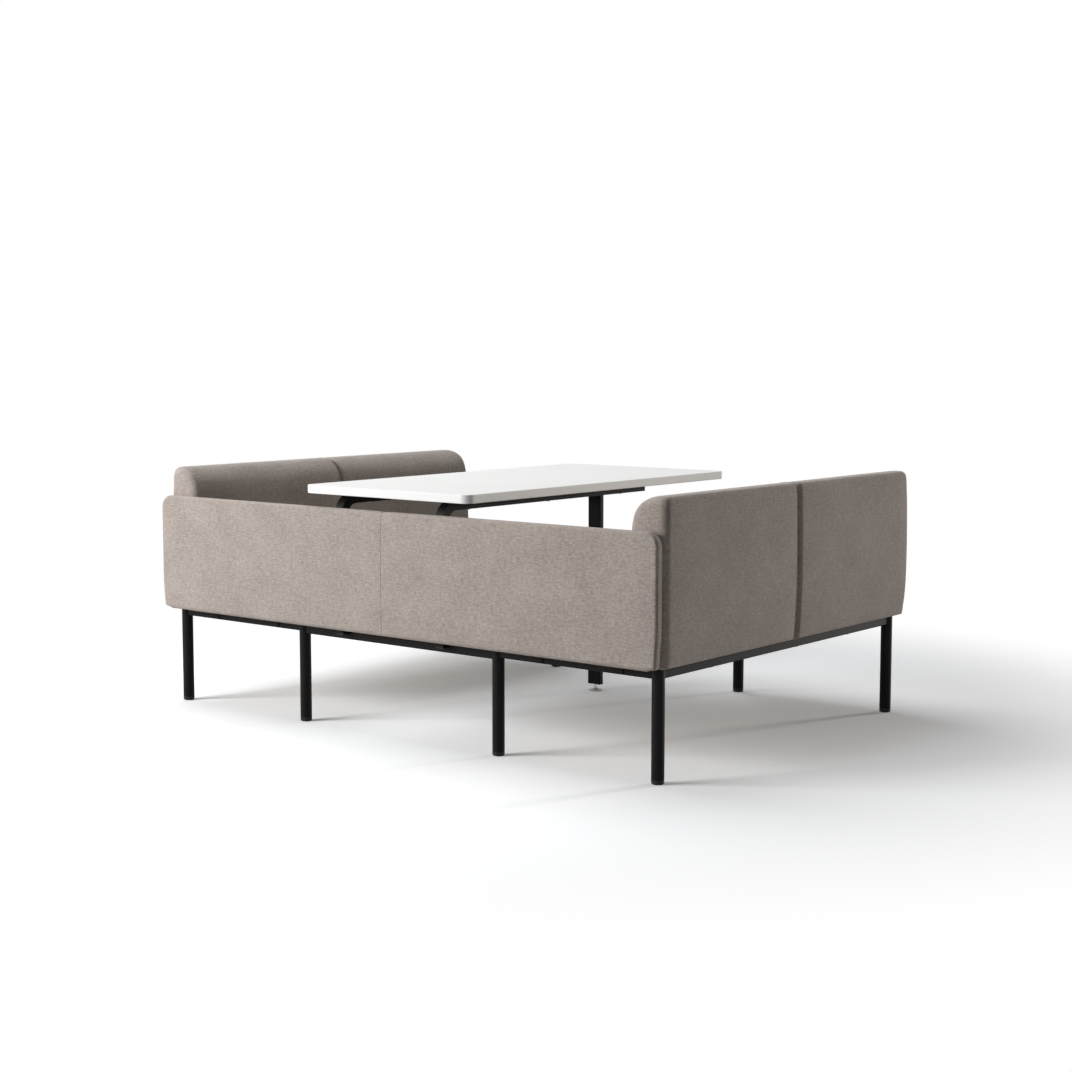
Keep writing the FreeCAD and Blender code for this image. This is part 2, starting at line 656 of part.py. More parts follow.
SLOT_WIDTH = "(Dim.back_board_thickness + Dim.upright_thickness + 2 * Dim.soft_clearance)"
SLOT_LOW_X = f"({BOARD_LOW_X} - Dim.soft_clearance)"
back_turn = turn_heights(at("Dim.back_height"), at("Dim.back_inner_radius"))
underside = at("Dim.rail_top")
back_heights = [underside + (back_turn[0] - underside) * share for share in BACK_RISE_SHARES] + back_turn
for side, sign in SIDES.items():
    for end, (low, high) in MODULES.items():
        start, stop = at(low), at(high)
        label = f"{side}_{end}_back"
        x = SLOT_LOW_X if sign > 0 else f"-({SLOT_LOW_X} + {SLOT_WIDTH})"
        board_slot = box(f"{label}_slot",
                         (SLOT_WIDTH, f"{high} - {low} - 2 * Dim.back_board_margin + 2 * Dim.soft_clearance",
                          "Dim.back_board_top + Dim.soft_clearance - Dim.rail_top"),
                         (x, f"{low} + Dim.back_board_margin - Dim.soft_clearance", "Dim.rail_top"))
        cushion(label, [back_level(z, start, stop, MODULE_ENDS[end]) for z in back_heights], sign,
                [deck_recess(label, sign), board_slot])
        label = f"{side}_{end}_seat"
        cushion(label, [seat_section(y, draw) for y, draw in stations(start, stop)], sign,
                [deck_recess(label, sign)])

# End panel: a plywood board in a thin padded cover, with large top corners, ends that draw in towards
# the bottom and a seam at mid-width.
PANEL_WAIST_Z = "(Dim.rail_top + Dim.panel_taper_height)"
PANEL_FOOT_X = f"({OUTER_X} - Dim.panel_taper)"
panel_corners = [
    (PANEL_FOOT_X, "Dim.rail_top", "Dim.panel_bottom_corner"), (OUTER_X, PANEL_WAIST_Z, None),
    (OUTER_X, "Dim.panel_top", "Dim.panel_top_corner"),
]
panel_corners += [(sided(-1, x), z, radius) for x, z, radius in reversed(panel_corners)]
panel = new_body("end_panel_foam")
panel_sketch = sketch_on(panel, "XZ_Plane")
outline(panel_sketch, [(x, z) for x, z, _ in panel_corners])
padding = pad(panel, panel_sketch, "Dim.panel_thickness")
for x, z, radius in panel_corners:
    if radius:
        padding = rounded(panel, padding, radius, lambda edge: runs_at(edge, at(x), at(z)))
for plane, radius in (("-Dim.panel_thickness", "Dim.panel_outer_radius"), ("0", "Dim.panel_inner_radius")):
    padding = rounded(panel, padding, radius, lambda edge: lies_at(edge, at(plane)))
place(panel, ("0", PANEL_INNER_Y, "0"))

BOARD_NEAR_Y = f"({CLOSED_Y} + (Dim.panel_thickness - Dim.panel_board_thickness) / 2)"
PANEL_BOARD_X = f"({OUTER_X} - Dim.panel_board_margin)"
PANEL_BOARD_TOP = "(Dim.panel_top - Dim.panel_board_headroom)"
panel_slot = box("panel_slot",
                 (f"2 * ({PANEL_BOARD_X} + Dim.soft_clearance)",
                  "Dim.panel_board_thickness + 2 * Dim.soft_clearance",
                  f"{PANEL_BOARD_TOP} - Dim.rail_top + Dim.soft_clearance + Dim.cut_overrun"),
                 (f"-{PANEL_BOARD_X} - Dim.soft_clearance", f"{BOARD_NEAR_Y} - Dim.soft_clearance",
                  "Dim.rail_top - Dim.cut_overrun"))
seam_groove = box("seam_groove",
                  ("Dim.seam_width", "Dim.seam_depth + Dim.cut_overrun", "Dim.panel_top"),
                  ("-Dim.seam_width / 2", f"{CLOSED_Y} - Dim.cut_overrun", "0"))

BOLT_RISE_SHARES = (0.25, 0.7)
BOLT_ROWS = [f"(Dim.rail_top + (Dim.panel_top - Dim.rail_top) * {share})" for share in BOLT_RISE_SHARES]
panel_bolt_places = [(sided(sign, ARM_X), RAIL_NEAR_FACE, z) for sign in SIDES.values() for z in BOLT_ROWS]
cover_holes = screw_holes("cover_bolt_hole", [(x, BOARD_NEAR_Y, z) for x, _, z in panel_bolt_places],
                          BOLT_HOLE, "Dim.panel_thickness", ALONG_Y)
node(cut("end_panel_cover", panel, [panel_slot, seam_groove] + cover_holes))

# The panel's board is drilled for the bolts of the table arms and for the screws of its brackets.
board = box("end_panel_plywood",
            (f"2 * {PANEL_BOARD_X}", "Dim.panel_board_thickness", f"{PANEL_BOARD_TOP} - Dim.rail_top"),
            (f"-{PANEL_BOARD_X}", BOARD_NEAR_Y, "Dim.rail_top"))
BRACKET_SHARES = (0.25, 0.75)
BRACKET_BOTTOM = "(Dim.rail_top - Dim.bracket_thickness)"
bracket_rows = [sided(sign, f"({FRONT_X} + Dim.bench_leg_gap * {share})")
                for sign in SIDES.values() for share in BRACKET_SHARES]
BOARD_MIDDLE_Y = f"({BOARD_NEAR_Y} + Dim.panel_board_thickness / 2)"
bracket_screw_places = [(x, BOARD_MIDDLE_Y, BRACKET_BOTTOM) for x in bracket_rows]
tools = screw_holes("board_bolt_hole", [(x, BOARD_NEAR_Y, z) for x, _, z in panel_bolt_places],
                    BOLT_HOLE, "Dim.panel_board_thickness", ALONG_Y)
tools += screw_holes("board_screw_hole", bracket_screw_places, SCREW_HOLE,
                     "Dim.bracket_thickness + Dim.screw_bite + Dim.screw_clearance")
node(cut("end_panel_board", board, tools))

# Brackets: bent plates on the near rails, on which the panel's board stands.
lip = box("bracket_lip", ("Dim.bracket_width", "Dim.bracket_reach", "Dim.bracket_thickness"),
          ("-Dim.bracket_width / 2", "-Dim.bracket_reach", "-Dim.bracket_thickness"))
flange = box("bracket_flange", ("Dim.bracket_width", "Dim.bracket_thickness", "Dim.bracket_drop"),
             ("-Dim.bracket_width / 2", "-Dim.bracket_thickness", "-Dim.bracket_drop"))
BRACKET_HOLE_Y = f"({BOARD_MIDDLE_Y} - {RAIL_NEAR_FACE})"
bracket_hole = cylinder("bracket_hole", SCREW_HOLE, "Dim.bracket_thickness + 2 * Dim.cut_overrun",
                        ("0", BRACKET_HOLE_Y, "-Dim.bracket_thickness - Dim.cut_overrun"))
bracket = cut("bracket", joined("bent_plate", [lip, flange]), [bracket_hole])
node(copies("panel_brackets", bracket, [(x, RAIL_NEAR_FACE, "Dim.rail_top") for x in bracket_rows]))
bracket_screw = screw("bracket_screw", "Dim.screw_diameter", "Dim.screw_head_diameter",
                      "Dim.screw_head_height", "Dim.bracket_thickness + Dim.screw_bite", UPRIGHT)
node(copies("bracket_screws", bracket_screw, bracket_screw_places))

# Table top: laminated board with rounded corners and eased edges, drilled below for its screws.
TABLE_UNDERSIDE = "(Dim.table_height - Dim.table_thickness)"
TABLE_NEAR_Y = f"({CLOSED_Y} + Dim.table_inset)"
TABLE_FAR_Y = f"({TABLE_NEAR_Y} + Dim.table_length)"
TABLE_LEG_Y = f"({TABLE_FAR_Y} - Dim.table_leg_setback)"
ARM_LOW_Z = f"({TABLE_UNDERSIDE} - Dim.arm_size)"
ARM_AXIS_Z = f"({TABLE_UNDERSIDE} - Dim.arm_size / 2)"
ARM_AXIS_Y = f"({RAIL_NEAR_FACE} - Dim.arm_size / 2)"
ARM_FAR_Y = f"({TABLE_LEG_Y} - Dim.arm_size / 2 - Dim.arm_crossbar_gap)"
ARM_LENGTH = f"({ARM_FAR_Y} - {ARM_AXIS_Y})"
ARM_REACH = f"({ARM_LENGTH} - Dim.cap_thickness)"
ARM_SCREW_SHARES = (0.12, 0.5, 0.88)
CROSSBAR_SCREW_SHARE = 0.38
table_screw_places = [(sided(sign, ARM_X), f"{ARM_AXIS_Y} + {ARM_LENGTH} * {share}", ARM_LOW_Z)
                      for sign in SIDES.values() for share in ARM_SCREW_SHARES]
crossbar_screw_places = [(sided(sign, f"Dim.crossbar_length * {CROSSBAR_SCREW_SHARE}"), TABLE_LEG_Y, ARM_LOW_Z)
                         for sign in SIDES.values()]
slab = new_body("tabletop_slab")
slab_sketch = sketch_on(slab, "XY_Plane")
rectangle(slab_sketch, "Dim.table_width", "Dim.table_length")
slab_pad = pad(slab, slab_sketch, "Dim.table_thickness")
slab_corners = rounded(slab, slab_pad, "Dim.table_corner",
                       lambda edge: edge.BoundBox.ZLength > edge.Length / 2)
rounded(slab, slab_corners, "Dim.table_edge",
        lambda edge: edge.BoundBox.ZLength < at("Dim.table_edge"))
place(slab, ("0", f"({TABLE_NEAR_Y} + {TABLE_FAR_Y}) / 2", TABLE_UNDERSIDE))
tools = screw_holes("tabletop_hole", table_screw_places + crossbar_screw_places, SCREW_HOLE,
                    "Dim.arm_size + Dim.screw_bite + Dim.screw_clearance")
node(cut("tabletop", slab, tools))

# Table arms: square tubes bolted to the link rail. They rise behind the end panel, bend once and run
# on under the top.
for side, sign in SIDES.items():
    x = sided(sign, ARM_X)
    stock = new_body(f"table_arm_{side}_stock")
    section = sketch_on(stock, "XY_Plane")
    hollow_section(section, "Dim.arm_size", "Dim.arm_size")
    rise = f"({ARM_AXIS_Z} - {ARM_FOOT_Z} - Dim.cap_thickness)"
    path = sketch_on(stock, "YZ_Plane")
    bend = at("Dim.arm_bend")
    top = at(rise)
    reach = at(ARM_REACH)
    half_root = math.sqrt(0.5)
    path.addGeometry(Part.LineSegment(Vector(0, 0, 0), Vector(0, top - bend, 0)))
    path.addGeometry(Part.Arc(Vector(0, top - bend, 0),
                              Vector(bend - bend * half_root, top - bend + bend * half_root, 0),
                              Vector(bend, top, 0)))
    path.addGeometry(Part.LineSegment(Vector(bend, top, 0), Vector(reach, top, 0)))
    path.addConstraint(Sketcher.Constraint("Coincident", 0, 1, -1, 1))
    path.addConstraint(Sketcher.Constraint("Vertical", 0))
    path.addConstraint(Sketcher.Constraint("Horizontal", 2))
    path.addConstraint(Sketcher.Constraint("Tangent", 0, 2, 1, 2))
    path.addConstraint(Sketcher.Constraint("Tangent", 1, 1, 2, 1))
    for kind, geometry, point, expression in (
            ("DistanceX", 2, 2, ARM_REACH), ("DistanceY", 2, 2, rise)):
        limit = Sketcher.Constraint(kind, -1, 1, geometry, point, at(expression))
        path.setExpression(f"Constraints[{path.addConstraint(limit)}]", expression)
    limit = Sketcher.Constraint("Radius", 1, bend)
    path.setExpression(f"Constraints[{path.addConstraint(limit)}]", "Dim.arm_bend")
    doc.recompute()
    pipe = stock.newObject("PartDesign::AdditivePipe", f"table_arm_{side}_pipe")
    pipe.Profile = section
    pipe.Spine = (path, ["Edge1", "Edge2", "Edge3"])
    doc.recompute()
    place(stock, (x, ARM_AXIS_Y, f"{ARM_FOOT_Z} + Dim.cap_thickness"))
    spots = [(x, y, f"{z} - Dim.cut_overrun") for x_screw, y, z in table_screw_places if x_screw == x]
    tools = screw_holes(f"table_arm_{side}_hole", spots, SCREW_HOLE, "Dim.arm_size + 2 * Dim.cut_overrun")
    spots = [(x, f"{RAIL_NEAR_FACE} - Dim.arm_size - Dim.cut_overrun", z)
             for z in BOLT_ROWS]
    spots.append((x, f"{RAIL_NEAR_FACE} - Dim.arm_size / 2", ARM_BOLT_Z))
    tools += screw_holes(f"table_arm_{side}_bolt_hole", spots, BOLT_HOLE,
                         "Dim.arm_size + 2 * Dim.cut_overrun", ALONG_Y)
    node(cut(f"table_arm_{side}", stock, tools))

# Bolts of the arms: through the link rail into each arm, and through each arm into the panel's board.
TOWARDS_PANEL = Rotation(Vector(1, 0, 0), 90)
arm_bolt = screw("arm_bolt", "Dim.bolt_diameter", "Dim.bolt_head_diameter", "Dim.bolt_head_height",
                 "Dim.bolt_length", TOWARDS_PANEL)
rail_bolt_places = [(sided(sign, ARM_X), RAIL_FAR_FACE, ARM_BOLT_Z) for sign in SIDES.values()]
node(copies("arm_bolts", arm_bolt, panel_bolt_places + rail_bolt_places))

# Cross bar that spreads the table leg's load under the top, and the flat leg welded below it.
stock = tube("table_crossbar_stock", "Dim.arm_size", "Dim.arm_size",
             "Dim.crossbar_length - 2 * Dim.cap_thickness",
             ("Dim.cap_thickness - Dim.crossbar_length / 2", TABLE_LEG_Y, ARM_AXIS_Z), ALONG_X)
spots = [(x, y, f"{z} - Dim.cut_overrun") for x, y, z in crossbar_screw_places]
node(cut("table_crossbar", stock,
         screw_holes("crossbar_hole", spots, SCREW_HOLE, "Dim.arm_size + 2 * Dim.cut_overrun")))
TABLE_LEG_BOTTOM = "(Dim.leveller_clear + Dim.plug_flange)"
node(tube("table_leg", "Dim.table_leg_width", "Dim.table_leg_depth", f"{ARM_LOW_Z} - {TABLE_LEG_BOTTOM}",
          ("0", TABLE_LEG_Y, TABLE_LEG_BOTTOM), UPRIGHT))
table_screw = screw("table_screw", "Dim.screw_diameter", "Dim.screw_head_diameter",
                    "Dim.screw_head_height", "Dim.arm_size + Dim.screw_bite", UPRIGHT)
node(copies("table_screws", table_screw, table_screw_places + crossbar_screw_places))

# Caps that close the open tube ends: both ends of each arm and of the cross bar.
cap_shapes = []
cap_half = "Dim.arm_size / 2"
for sign in SIDES.values():
    x = sided(sign, ARM_X)
    lying = ("Dim.arm_size", "Dim.cap_thickness", "Dim.arm_size")
    cap_shapes.append(box("arm_cap", lying, (f"{x} - {cap_half}", f"{ARM_FAR_Y} - Dim.cap_thickness", ARM_LOW_Z)))
    flat = ("Dim.arm_size", "Dim.arm_size", "Dim.cap_thickness")
    cap_shapes.append(box("arm_foot_cap", flat, (f"{x} - {cap_half}", f"{ARM_AXIS_Y} - {cap_half}", ARM_FOOT_Z)))
    end = "Dim.crossbar_length / 2 - Dim.cap_thickness" if sign > 0 else "-Dim.crossbar_length / 2"
    side_on = ("Dim.cap_thickness", "Dim.arm_size", "Dim.arm_size")
    cap_shapes.append(box("crossbar_cap", side_on, (end, f"{TABLE_LEG_Y} - {cap_half}", ARM_LOW_Z)))
caps = doc.addObject("Part::Compound", "tube_caps")
caps.Label = "tube_caps"
caps.Links = cap_shapes
node(caps)

# Plug in the table leg, threaded for the levelling stem.
flange = box("plug_flange_plate", ("Dim.table_leg_width", "Dim.table_leg_depth", "Dim.plug_flange"),
             ("-Dim.table_leg_width / 2", f"{TABLE_LEG_Y} - Dim.table_leg_depth / 2", "Dim.leveller_clear"))
PLUG_WIDE = "(Dim.table_leg_width - 2 * Dim.tube_wall - 2 * Dim.plug_fit)"
PLUG_DEEP = "(Dim.table_leg_depth - 2 * Dim.tube_wall - 2 * Dim.plug_fit)"
core = box("plug_core", (PLUG_WIDE, PLUG_DEEP, "Dim.plug_height"),
           (f"-{PLUG_WIDE} / 2", f"{TABLE_LEG_Y} - {PLUG_DEEP} / 2", TABLE_LEG_BOTTOM))
plug_thread = cylinder("plug_thread", "Dim.stem_diameter / 2 + Dim.thread_clearance",
                       "Dim.plug_flange + Dim.plug_height", ("0", TABLE_LEG_Y, "Dim.leveller_clear"))
node(cut("table_leg_plug", joined("plug_blank", [flange, core]), [plug_thread]))

# Levelling foot: the stem screws into the plug and turns in the socket of the pad.
stem = new_body("leveller_stem")
STEM_BOTTOM = "Dim.pad_floor + Dim.pad_gap"
turned(stem, [("0", STEM_BOTTOM), ("Dim.stem_foot_diameter / 2", STEM_BOTTOM),
              ("Dim.stem_foot_diameter / 2", "Dim.collar_low"), ("Dim.stem_diameter / 2", "Dim.collar_low"),
              ("Dim.stem_diameter / 2", "Dim.stem_top"), ("0", "Dim.stem_top")])
collar_sketch = sketch_on(stem, "XY_Plane")
collar_sketch.setExpression("AttachmentOffset.Base.z", "Dim.collar_low")
collar_corners = [f"Dim.collar_width / 2 / cos(30) * {turn}(60 * {i})" for i in range(6) for turn in ("cos", "sin")]
outline(collar_sketch, list(zip(collar_corners[0::2], collar_corners[1::2])))
pad(stem, collar_sketch, "Dim.collar_height")
node(place(stem, ("0", TABLE_LEG_Y, "0")))

foot_pad = new_body("leveller_pad")
SOCKET = "Dim.stem_foot_diameter / 2 + Dim.thread_clearance"
turned(foot_pad, [("0", "0"), ("Dim.pad_diameter / 2", "0"), ("Dim.pad_diameter / 2", "Dim.pad_rim"),
                  ("Dim.pad_boss_diameter / 2", "Dim.pad_shoulder"),
                  ("Dim.pad_boss_diameter / 2", "Dim.pad_boss_height"), (SOCKET, "Dim.pad_boss_height"),
                  (SOCKET, "Dim.pad_floor"), ("0", "Dim.pad_floor")])
node(place(foot_pad, ("0", TABLE_LEG_Y, "0")))

doc.recompute()
for piece in doc.Objects:
    if "Invalid" in piece.State or "Error" in piece.State:
        raise RuntimeError(f"{piece.Label} did not build: {piece.State}")
for piece in nodes:
    if piece.Shape.isNull() or not piece.Shape.isValid():
        raise RuntimeError(f"{piece.Label} has no valid shape")

os.makedirs("parts", exist_ok=True)
for piece in nodes:
    piece.Shape.exportStep(f"parts/{piece.Label}.step")
print(len(nodes), "pieces")
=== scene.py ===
import math
import bmesh
import bpy
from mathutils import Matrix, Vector
from mathutils.kdtree import KDTree


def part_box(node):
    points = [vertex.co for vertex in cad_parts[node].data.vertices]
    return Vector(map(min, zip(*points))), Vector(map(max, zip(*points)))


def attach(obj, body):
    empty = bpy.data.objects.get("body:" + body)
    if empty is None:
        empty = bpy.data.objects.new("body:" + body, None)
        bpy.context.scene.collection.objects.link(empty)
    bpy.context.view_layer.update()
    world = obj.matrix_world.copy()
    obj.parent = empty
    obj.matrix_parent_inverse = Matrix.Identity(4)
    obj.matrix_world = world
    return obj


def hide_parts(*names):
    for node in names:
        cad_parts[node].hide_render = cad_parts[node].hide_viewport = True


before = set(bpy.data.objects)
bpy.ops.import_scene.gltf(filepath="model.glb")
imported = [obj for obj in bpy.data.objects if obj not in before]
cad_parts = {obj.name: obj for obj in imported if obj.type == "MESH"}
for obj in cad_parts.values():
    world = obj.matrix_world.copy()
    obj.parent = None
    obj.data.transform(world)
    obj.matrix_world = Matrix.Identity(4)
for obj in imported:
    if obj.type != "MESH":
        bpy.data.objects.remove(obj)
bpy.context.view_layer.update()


# Underframe. Eight round legs carry rectangular rails that butt between them and are welded up in
# mild steel tube, with a link rail across the closed end and a bearer under each deck.
# It is blasted and powder-coated black, with a finely pebbled half-matt skin.
SIDES = ("left", "right")
ENDS = ("near", "far")
LEGS = [f"{side}_{row}_{end}" for side in SIDES for row in ("rear", "front") for end in ENDS]
BENCH_BARS = ("rear_rail", "front_rail", "near_rail", "far_rail", "bearer")
RAILS = [f"{side}_{bar}" for side in SIDES for bar in BENCH_BARS]
POWDER_BLACKS = [(0.3, (0.004, 0.004, 0.0043)), (0.7, (0.007, 0.007, 0.0073))]
PEBBLE_DEPTH = 0.0003


class Tone:
    """One output in a finish's node tree. Arithmetic on it adds Math nodes, and node() adds any other."""

    def __init__(self, tree, socket=None):
        self.tree = tree
        self.socket = socket

    def node(self, kind, settings, sockets, out=0):
        made = self.tree.nodes.new("ShaderNode" + kind)
        for name, value in settings.items():
            if name == "stops":
                ramp = made.color_ramp.elements
                while len(ramp) < len(value):
                    ramp.new(0.5)
                for stop, (place, colour) in zip(ramp, value):
                    stop.position = place
                    stop.color = (*colour, 1)
            else:
                setattr(made, name, value)
        for name, value in sockets.items():
            if isinstance(value, Tone):
                self.tree.links.new(value.socket, made.inputs[name])
            else:
                made.inputs[name].default_value = value
        return Tone(self.tree, made.outputs[out] if made.outputs else None)

    def math(self, operation, *terms):
        return self.node("Math", {"operation": operation}, dict(enumerate(terms)))

    def __add__(self, other):
        return self.math("ADD", self, other)

    def __sub__(self, other):
        return self.math("SUBTRACT", self, other)

    def __rsub__(self, other):
        return self.math("SUBTRACT", other, self)

    def __mul__(self, other):
        return self.math("MULTIPLY", self, other)

    def __truediv__(self, other):
        return self.math("DIVIDE", self, other)

    def __gt__(self, other):
        return self.math("GREATER_THAN", self, other)

    def __abs__(self):
        return self.math("ABSOLUTE", self)

    __radd__ = __add__
    __rmul__ = __mul__


def finish(name, fixed):
    """A material with these fixed shader values, and the empty Tone that its changing ones start from."""
    material = bpy.data.materials.new(name)
    material.use_nodes = True
    shader = material.node_tree.nodes["Principled BSDF"]
    for socket, value in fixed.items():
        shader.inputs[socket].default_value = value
    return material, Tone(material.node_tree)


def feed(material, changing):
    """Links the tones that change over the surface to the finish's shader."""
    shader = material.node_tree.nodes["Principled BSDF"]
    for socket, tone in changing.items():
        material.node_tree.links.new(tone.socket, shader.inputs[socket])


def coat(material, names):
    """Gives the solids of these names the finish."""
    for name in names:
        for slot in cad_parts[name].material_slots:
            slot.material = material


powder, skin = finish("powder_coat", {"Specular IOR Level": 0.10})
where = skin.node("TexCoord", {}, {}, "Object")
pebble = skin.node("TexNoise", {}, {"Vector": where, "Scale": 900.0, "Detail": 2.0})
drift = skin.node("TexNoise", {}, {"Vector": where, "Scale": 14.0, "Detail": 3.0})
feed(powder, {
    "Base Color": skin.node("ValToRGB", {"stops": POWDER_BLACKS}, {"Fac": drift}),
    "Roughness": 0.40 + pebble * 0.14 + drift * 0.08,
    "Normal": skin.node("Bump", {}, {"Strength": 0.22, "Distance": PEBBLE_DEPTH, "Height": pebble}),
})
coat(powder, [f"leg_{leg}" for leg in LEGS] + RAILS + ["link_rail", "back_uprights", "panel_brackets"])


# Feet. Turned-edge black nylon feet screw into zinc-plated threaded inserts that close the leg ends,
# and each winds out to level the booth. Nylon caps close the open rail and arm ends.
NYLON_BLACKS = [(0.35, (0.014, 0.014, 0.014)), (0.75, (0.026, 0.026, 0.026))]
STIPPLE_DEPTH = 0.0002
ZINC_GREYS = [(0.0, (0.50, 0.51, 0.53)), (1.0, (0.66, 0.66, 0.64))]

nylon, grain = finish("black_nylon", {"Specular IOR Level": 0.2})
where = grain.node("TexCoord", {}, {}, "Object")
stipple = grain.node("TexNoise", {}, {"Vector": where, "Scale": 1500.0, "Detail": 1.0})
scuff = grain.node("TexNoise", {}, {"Vector": where, "Scale": 60.0, "Detail": 4.0})
feed(nylon, {
    "Base Color": grain.node("ValToRGB", {"stops": NYLON_BLACKS}, {"Fac": scuff}),
    "Roughness": 0.42 + scuff * 0.2,
    "Normal": grain.node("Bump", {}, {"Strength": 0.15, "Distance": STIPPLE_DEPTH, "Height": stipple}),
})
coat(nylon, [f"foot_{leg}" for leg in LEGS] + ["tube_caps"])

zinc, plate = finish("zinc_plate", {"Metallic": 1.0})
where = plate.node("TexCoord", {}, {}, "Object")
spangle = plate.node("TexVoronoi", {}, {"Vector": where, "Scale": 700.0})
feed(zinc, {
    "Base Color": plate.node("ValToRGB", {"stops": ZINC_GREYS}, {"Fac": spangle}),
    "Roughness": 0.26 + spangle * 0.16,
})
coat(zinc, ["leg_inserts"])


# Decks and back boards. Each bench has a birch plywood deck screwed down on its rails, and plywood boards
# stand in the back cushions and the end panel. Cut edges show the plies, and the faces their grain.
PLY = 0.0015
GRAIN_STRETCH = (26.0, 1.6, 26.0)
GRAIN_DEPTH = 0.0003
LYING_FLAT = 0.6
FACE_BIRCH = [(0.3, (0.50, 0.36, 0.22)), (0.7, (0.66, 0.52, 0.35))]
EDGE_BIRCH = [(0.35, (0.30, 0.19, 0.10)), (0.65, (0.62, 0.48, 0.31))]
MODULES = [f"{side}_{end}" for side in SIDES for end in ENDS]

birch, veneer = finish("birch_plywood", {"Specular IOR Level": 0.35})
where = veneer.node("TexCoord", {}, {}, "Object")
long_grain = veneer.node("Mapping", {}, {"Vector": where, "Scale": GRAIN_STRETCH})
figure = veneer.node("TexNoise", {}, {"Vector": long_grain, "Scale": 1.0, "Detail": 6.0, "Distortion": 0.6})
pores = veneer.node("TexNoise", {}, {"Vector": long_grain, "Scale": 18.0, "Detail": 2.0})
height = veneer.node("SeparateXYZ", {}, {"Vector": where}, "Z")
facing = veneer.node("NewGeometry", {}, {}, "Normal")
upright = abs(veneer.node("SeparateXYZ", {}, {"Vector": facing}, "Z"))
cut_edge = 1 - (upright > LYING_FLAT)
ply_line = veneer.math("PINGPONG", height, PLY) / PLY
relief = pores + ply_line * cut_edge
face = veneer.node("ValToRGB", {"stops": FACE_BIRCH}, {"Fac": figure * 0.8 + pores * 0.2})
edge = veneer.node("ValToRGB", {"stops": EDGE_BIRCH}, {"Fac": ply_line})
feed(birch, {
    "Base Color": veneer.node("Mix", {"data_type": "RGBA"}, {0: cut_edge, 6: face, 7: edge}, 2),
    "Roughness": 0.5 + pores * 0.2,
    "Normal": veneer.node("Bump", {}, {"Strength": 0.2, "Distance": GRAIN_DEPTH, "Height": relief}),
})
coat(birch, ["left_deck", "right_deck", "end_panel_board"] + [f"{module}_back_board" for module in MODULES])
coat(zinc, ["deck_screws"])
coat(powder, ["bracket_screws"])


# Seat and back cushions. Cut foam on the boards under a sewn cover of wool-blend cloth, two modules to
# a bench. The covers are pulled tight and stapled under the deck, so the faces crown and the ends draw in.
# The cloth is a fine plain weave of mixed yarns, warm grey with darker and paler flecks.
THREAD = 0.0016
THREAD_DEPTH = 0.0005
YARN = 0.022
WARP_SHIFT = 7.31
WEFT_SHIFT = 5.77
WARP_LAYER = 3.0
WEFT_LAYER = 41.0
BLOTCH_LAYER = 7.0
BLOTCHES_ALONG = 85
BLOTCHES_ACROSS = 210
CLOTH_GREYS = [
    (0.25, (0.205, 0.174, 0.153)),
    (0.50, (0.398, 0.345, 0.308)),
    (0.75, (0.615, 0.548, 0.498)),
]

cloth, weave = finish("melange_cloth", {
    "Sheen Weight": 0.25,
    "Sheen Roughness": 0.5,
    "Specular IOR Level": 0.2,
})
where = weave.node("NewGeometry", {}, {}, "Position")
facing = weave.node("NewGeometry", {}, {}, "Normal")
place_x, place_y, place_z = (weave.node("SeparateXYZ", {}, {"Vector": where}, axis) for axis in "XYZ")
lean_x, lean_y, lean_z = (abs(weave.node("SeparateXYZ", {}, {"Vector": facing}, axis)) for axis in "XYZ")
on_end = lean_y > weave.math("MAXIMUM", lean_x, lean_z)
on_top = lean_z > weave.math("MAXIMUM", lean_x, lean_y)
along = place_y + (place_x - place_y) * on_end
across = place_z + (place_x - place_z) * on_top
warp = weave.math("FLOOR", along / THREAD)
weft = weave.math("FLOOR", across / THREAD)
over = weave.math("MODULO", abs(warp + weft), 2.0)


def yarn(a, b, layer):
    """The uneven colour of spun yarn at a place in the cloth."""
    place = weave.node("CombineXYZ", {}, {"X": a, "Y": b, "Z": layer})
    return weave.node("TexNoise", {}, {"Vector": place, "Scale": 1.0, "Detail": 1.0})


warp_yarn = yarn(warp * WARP_SHIFT, across / YARN, WARP_LAYER)
weft_yarn = yarn(along / YARN, weft * WEFT_SHIFT, WEFT_LAYER)
fleck = warp_yarn + (weft_yarn - warp_yarn) * over
blotch = yarn(along * BLOTCHES_ALONG, across * BLOTCHES_ACROSS, BLOTCH_LAYER)
shade = weave.node("TexNoise", {}, {"Vector": where, "Scale": 9.0, "Detail": 2.0})
mix = fleck * 0.55 + blotch * 0.30 + shade * 0.15
turn = math.pi / THREAD
crown = abs(weave.math("SINE", along * turn)) * abs(weave.math("SINE", across * turn))
feed(cloth, {
    "Base Color": weave.node("ValToRGB", {"stops": CLOTH_GREYS}, {"Fac": mix}),
    "Roughness": 0.82 + fleck * 0.16,
    "Normal": weave.node("Bump", {}, {"Strength": 0.5, "Distance": THREAD_DEPTH, "Height": crown}),
})

FOAM_CELL = 0.006
WELD = 1e-6
POCKET_PLAY = 0.002
DECK_SEAT = 0.009
DECK_HEM = 0.012
PANEL_HEM = 0.0045
WALL = 0.006
JOIN_WALL = 0.002


def settled(piece):
    """Gives the piece the mesh that its modifiers make, and takes the modifiers off."""
    graph = bpy.context.evaluated_depsgraph_get()
    piece.data = bpy.data.meshes.new_from_object(piece.evaluated_get(graph))
    piece.modifiers.clear()


def made_of(name, form):
    """A piece with this form as its mesh."""
    mesh = bpy.data.meshes.new(name)
    form.to_mesh(mesh)
    form.free()
    piece = bpy.data.objects.new(name, mesh)
    bpy.context.scene.collection.objects.link(piece)
    return piece


